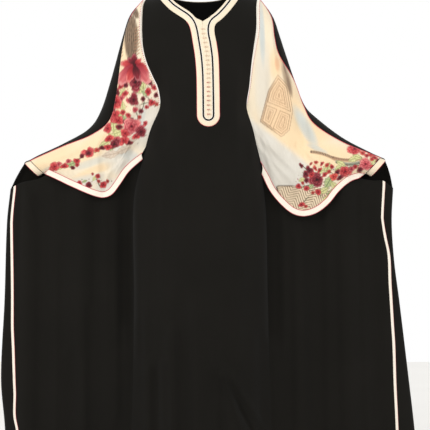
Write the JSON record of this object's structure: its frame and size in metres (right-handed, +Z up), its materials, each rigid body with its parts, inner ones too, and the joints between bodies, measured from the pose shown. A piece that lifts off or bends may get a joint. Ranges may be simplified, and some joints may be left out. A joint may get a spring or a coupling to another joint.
{
  "type": "butterfly abaya",
  "caption": "Wide black butterfly abaya with flower-printed sleeve fronts, ivory neck band and placket with knotted buttons, and ivory trims, open as when worn.",
  "frame": {"origin": "midway between the shoulders, level with the sides of the neck, where the wearer carries the garment", "axes": "+Z up, -Y out of the garment's front, +X towards the wearer's left"},
  "size_m": [1.1875, 0.2815, 1.4524],
  "materials": {
    "black_crepe": "matt woven crepe",
    "printed_chiffon": "soft matt printed chiffon",
    "ivory_satin": "soft satin band",
    "black_cord": "twisted cord",
    "knotted_thread": "knotted thread"
  },
  "bodies": {
    "root": {"sleeve_front_right": "printed_chiffon", "sleeve_hem_band_right": "ivory_satin", "armhole_trim_right": "ivory_satin", "cuff_right": "ivory_satin", "side_braid_right": "ivory_satin", "sleeve_front_left": "printed_chiffon", "sleeve_hem_band_left": "ivory_satin", "armhole_trim_left": "ivory_satin", "cuff_left": "ivory_satin", "side_braid_left": "ivory_satin", "front_panel": "black_crepe", "back_panel_top": "black_crepe", "back_panel_skirt": "black_crepe", "back_sleeve_right": "black_crepe", "back_wing_right": "black_crepe", "back_sleeve_left": "black_crepe", "back_wing_left": "black_crepe", "neck_band_front": "ivory_satin", "neck_band_back": "ivory_satin", "placket": "ivory_satin", "neck_cord": "black_cord", "button_1": "knotted_thread", "button_2": "knotted_thread", "button_3": "knotted_thread", "button_4": "knotted_thread", "button_5": "knotted_thread", "button_6": "knotted_thread", "button_7": "knotted_thread", "button_8": "knotted_thread", "button_9": "knotted_thread", "button_10": "knotted_thread", "button_11": "knotted_thread", "button_12": "knotted_thread", "button_13": "knotted_thread", "button_14": "knotted_thread", "button_15": "knotted_thread", "button_16": "knotted_thread", "button_17": "knotted_thread", "button_18": "knotted_thread", "button_19": "knotted_thread", "button_20": "knotted_thread"}
  },
  "joints": []
}
